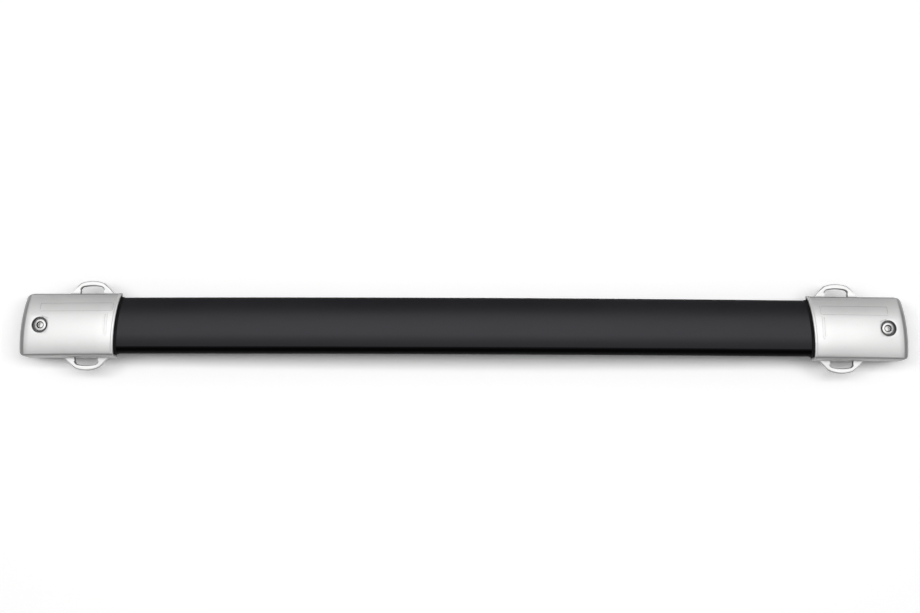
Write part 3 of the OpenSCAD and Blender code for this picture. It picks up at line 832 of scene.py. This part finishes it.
headLow = screwTop - screw["headH"]
domeH = screw["headH"] - screw["rim"]
domeR = (screw["headR"] ** 2 + domeH ** 2) / (2 * domeH)
underHigh = headLow + screw["underEdge"] + screw["underStep"]
rings = [(screw["tipR"], screwEnd), (screw["coreR"], screwEnd + screw["tipH"]),
         (screw["coreR"], screw["plainTo"] - screw["runOut"]), (screw["shankR"], screw["plainTo"]),
         (screw["shankR"], headLow),
         (screw["headR"] - screw["underEdge"], headLow + screw["underStep"]),
         (screw["headR"], underHigh), (screw["headR"], headLow + screw["rim"] - screw["rimEdge"])]
for r in (*screw["domeR"], screw["sinkR"]):
    rings.append((r, screwTop - domeR + math.sqrt(domeR ** 2 - r ** 2)))
socketTop = rings[-1][1] - screw["sinkDepth"]
rings.append((screw["sinkFloorR"], socketTop))
clampScrew = turned("clampScrew", foot["screwX"], 0, rings, screw["sides"])
cut(clampScrew, hexPrism(foot["screwX"], 0, socketTop - screw["hexDepth"],
                         socketTop + screw["hexOver"], screw["hex"], screw["hexTurn"]))

# the thread's ridge is a triangle wound around the core
deselectAll()
bpy.ops.mesh.primitive_circle_add(vertices=3, fill_type="NOTHING", location=(0, 0, 0))
thread = bpy.context.object
threadLow = screwEnd + winding["fromTip"]
rootR = screw["coreR"] - winding["inCore"]
ridge = ((rootR, -winding["halfWidth"]), (screw["shankR"] - winding["belowShank"], 0),
         (rootR, winding["halfWidth"]))
for vertex, (r, z) in zip(thread.data.vertices, ridge):
    vertex.co = (r, 0, z)
threadHigh = screw["plainTo"] - winding["belowPlain"]
turnsOfThread = int((threadHigh - threadLow) / winding["pitch"])
wound = thread.modifiers.new("winding", "SCREW")
wound.axis = "Z"
wound.angle = math.tau
wound.screw_offset = winding["pitch"]
wound.iterations = turnsOfThread
wound.steps = wound.render_steps = winding["steps"]
wound.use_smooth_shade = False
applyAll(thread)
editMode(thread, "EDGE")
bpy.ops.mesh.select_all(action="DESELECT")
bpy.ops.mesh.select_non_manifold()
bpy.ops.mesh.fill_holes(sides=4)
objectMode()
placeIn(thread, Matrix.Translation((foot["screwX"], 0, threadLow)))
joinPieces(clampScrew, thread)
finishMesh(clampScrew, screw["smoothAngle"])
dressBothSides(clampScrew, "screw_turned", rightScrewFinish, "screw",
               ["clamp_screw"], shifted, leftScrewFinish)
print("clamp screws turned:", turnsOfThread, "turns of thread")


# the bolts' heads hang down from their seat, turned as the wrench left them
bolt = {
    "places": (16.45 * mm, 36.66 * mm), "turns": (0.1, 0.35), "seat": -4 * mm,
    "flats": 10 * mm, "headH": 4 * mm, "faceGap": 0.15 * mm, "faceH": 0.3 * mm,
    "chamferFrom": (4.4 * mm, -0.2 * mm), "chamferTo": (6.2 * mm, 0.85 * mm),
    "faceR": 4.7 * mm, "shankR": 3 * mm, "shankTop": 10 * mm, "step": 0.001 * mm,
    "chamferSides": 64, "shankSides": 40, "smoothAngle": 30,
}

bolts = []
for x, turn in zip(bolt["places"], bolt["turns"]):
    seat = bolt["seat"]
    low = seat - bolt["headH"]
    head = hexPrism(x, 0, low, seat - bolt["faceGap"], bolt["flats"], turn)
    (narrow, below), (wide, above) = bolt["chamferFrom"], bolt["chamferTo"]
    chamfer = turned("chamfer", x, 0, [(narrow, low + below), (wide, low + above), (wide, seat)],
                     bolt["chamferSides"])
    cut(head, chamfer, "INTERSECT")
    shank = turned("shank", x, 0, [(bolt["faceR"], seat - bolt["faceH"]), (bolt["faceR"], seat),
                                   (bolt["shankR"], seat + bolt["step"]),
                                   (bolt["shankR"], bolt["shankTop"])], bolt["shankSides"])
    cut(head, shank, "UNION")
    bolts.append(head)
hexBolts = joinPieces(*bolts)
placeIn(hexBolts, footToRow())
finishMesh(hexBolts, bolt["smoothAngle"])
dressBothSides(hexBolts, "hex_bolts", zincFinish, "crossbar", ["bar_bolts"])


# the seal's rings lie as the lip's do, off the bar
seal = {
    "flush": 0.4 * mm, "smoothAngle": 40,
    "rings": ((-3, 0.12), (-3, 0.5), (-2.75, 0.72), (-2.4, 0.79), (-1.5, 0.62), (-0.7, 0.79),
              (4.8, 0.79), (4.8, 0.12)),
}


# the bar's outline in the foot's frame, grown by "off": tail, crown, nose
def sectionOutline(off):
    points = []
    crown, nose, tail = section["crown"], section["nose"], section["tail"]
    noseTurn, tailTurn = angleFrom(crown, nose), angleFrom(crown, tail)
    for centre, radius, start, end in ((tail, section["tailR"], -math.pi / 2, tailTurn),
                                       (crown, section["crownR"], tailTurn, noseTurn),
                                       (nose, section["noseR"], noseTurn, 3 * math.pi / 2)):
        for i in range(section["steps"]):
            angle = start + (end - start) * (i + 0.5) / section["steps"]
            points.append(onArc(centre, radius + off, angle))
    return points


ring = sweptOutline("sealRing", sectionOutline, seal["rings"], True)
placeIn(ring, footToRow())

# the CAD seal fills what the ring leaves open, from a little inside the mouth
corners = copyOfNode("right_mouth_seal", "sealCorners")
editMode(corners)
bpy.ops.mesh.select_all(action="SELECT")
inwards = (footToRow().to_3x3() @ Vector((1, lean, 0))).normalized()
bpy.ops.mesh.bisect(plane_co=footToRow() @ Vector((seal["flush"], 0, 0)), plane_no=inwards,
                    use_fill=True, clear_inner=True)
objectMode()
joinPieces(ring, corners)
finishMesh(ring, seal["smoothAngle"])
dressBothSides(ring, "seal_moulding", rubberFinish, "crossbar", ["mouth_seal"])


softened = (
    ("jaw_nut", "hex_nut", 0.3 * mm, zincFinish, "zinc_steel", "jaw"),
    ("clamp_washer", "washer", 0.2 * mm, zincFinish, "zinc_steel", "crossbar"),
    ("retaining_ring", "ring", 0.12 * mm, zincFinish, "zinc_steel", "screw"),
    ("case_screws", "cover_screws", 0.3 * mm, zincFinish, "zinc_steel", "crossbar"),
    ("rail_pad", "pad_moulding", 0.6 * mm, rubberFinish, "rubber", "crossbar"),
    ("hook_liner", "hook_rubber", 0.4 * mm, rubberFinish, "rubber", "crossbar"),
    ("jaw_liner", "jaw_rubber", 0.4 * mm, rubberFinish, "rubber", "jaw"),
)
for node, partName, width, finish, slot, body in softened:
    piece = copyOfNode("right_" + node, partName)
    softenEdges(piece, width)
    dressBothSides(piece, partName, finish, body, [node])
print("small pieces softened:", len(softened))


view = {
    "place": (-0.0051, -0.1424, 1.6444), "tilt": 6.0, "roll": 0.248,
    "lens": 50.87, "sensor": 36.0,
}

cameraData = bpy.data.cameras.new("camera")
cameraData.lens = view["lens"]
cameraData.sensor_width = view["sensor"]
camera = bpy.data.objects.new("camera", cameraData)
bpy.context.scene.collection.objects.link(camera)
tilt = Matrix.Rotation(math.radians(view["tilt"]), 4, "X")
roll = Matrix.Rotation(math.radians(view["roll"]), 4, "Z")
camera.matrix_world = Matrix.Translation(view["place"]) @ tilt @ roll
bpy.context.scene.camera = camera

studio = {
    "horizon": 0.08, "zenith": 0.40,
    "key": {"power": 41, "size": (3.4, 0.7), "place": (0, 0.19, 2.2), "lean": -5,
            "mirrored": False},
    "panel": {"power": 46, "size": (5.2, 2.9), "place": (0, 0.42, 2.35), "lean": -7,
              "mirrored": True},
}

world = bpy.data.worlds.new("studio")
bpy.context.scene.world = world
world.use_nodes = True
wNodes, wLinks = world.node_tree.nodes, world.node_tree.links
direction = wNodes.new("ShaderNodeTexCoord")
parts = wNodes.new("ShaderNodeSeparateXYZ")
wLinks.new(direction.outputs["Generated"], parts.inputs[0])
glowOfSky = remap(wNodes, wLinks, parts.outputs["Z"], 0, 1, studio["horizon"], studio["zenith"])
wLinks.new(glowOfSky, wNodes["Background"].inputs["Strength"])
wNodes["Background"].inputs["Color"].default_value = (1, 1, 1, 1)

# the key casts the shadow, the panel is only seen mirrored
for name in ("key", "panel"):
    values = studio[name]
    lampData = bpy.data.lights.new(name, "AREA")
    lampData.shape = "RECTANGLE"
    lampData.size, lampData.size_y = values["size"]
    lampData.energy = values["power"]
    lamp = bpy.data.objects.new(name, lampData)
    bpy.context.scene.collection.objects.link(lamp)
    leaned = Matrix.Rotation(math.radians(values["lean"]), 4, "X")
    lamp.matrix_world = Matrix.Translation(values["place"]) @ leaned
    lamp.visible_diffuse = not values["mirrored"]
    lamp.visible_glossy = values["mirrored"]

floorPaper = {
    "size": 9, "drop": 0.3 * mm, "colour": 0.55, "extra": 0.62, "rough": 0.9, "sheen": 0.1,
}
deselectAll()
bpy.ops.mesh.primitive_plane_add(size=floorPaper["size"], location=(0, 0, -floorPaper["drop"]))
floor = bpy.context.object
floor.name = "studioFloor"
paper, fNodes, fLinks, fShader, _ = newFinish("floorPaper")
fShader.inputs["Base Color"].default_value = (floorPaper["colour"],) * 3 + (1,)
fShader.inputs["Roughness"].default_value = floorPaper["rough"]
fShader.inputs["Specular IOR Level"].default_value = floorPaper["sheen"]
# lifts the paper to white where it is seen or mirrored, without more light on the bar
extra = fNodes.new("ShaderNodeBsdfDiffuse")
extra.inputs["Color"].default_value = (floorPaper["extra"],) * 3 + (1,)
none = fNodes.new("ShaderNodeBsdfDiffuse")
none.inputs["Color"].default_value = (0, 0, 0, 1)
rays = fNodes.new("ShaderNodeLightPath")
seen = largest(fNodes, fLinks, rays.outputs["Is Camera Ray"], rays.outputs["Is Glossy Ray"])
seen = largest(fNodes, fLinks, seen, rays.outputs["Is Transmission Ray"])
choice = fNodes.new("ShaderNodeMixShader")
both = fNodes.new("ShaderNodeAddShader")
fLinks.new(seen, choice.inputs[0])
fLinks.new(none.outputs[0], choice.inputs[1])
fLinks.new(extra.outputs[0], choice.inputs[2])
fLinks.new(fShader.outputs[0], both.inputs[0])
fLinks.new(choice.outputs[0], both.inputs[1])
fLinks.new(both.outputs[0], fNodes["Material Output"].inputs["Surface"])
floor.data.materials.append(paper)
bpy.context.scene.view_settings.view_transform = "Standard"
print("camera, light and floor set")
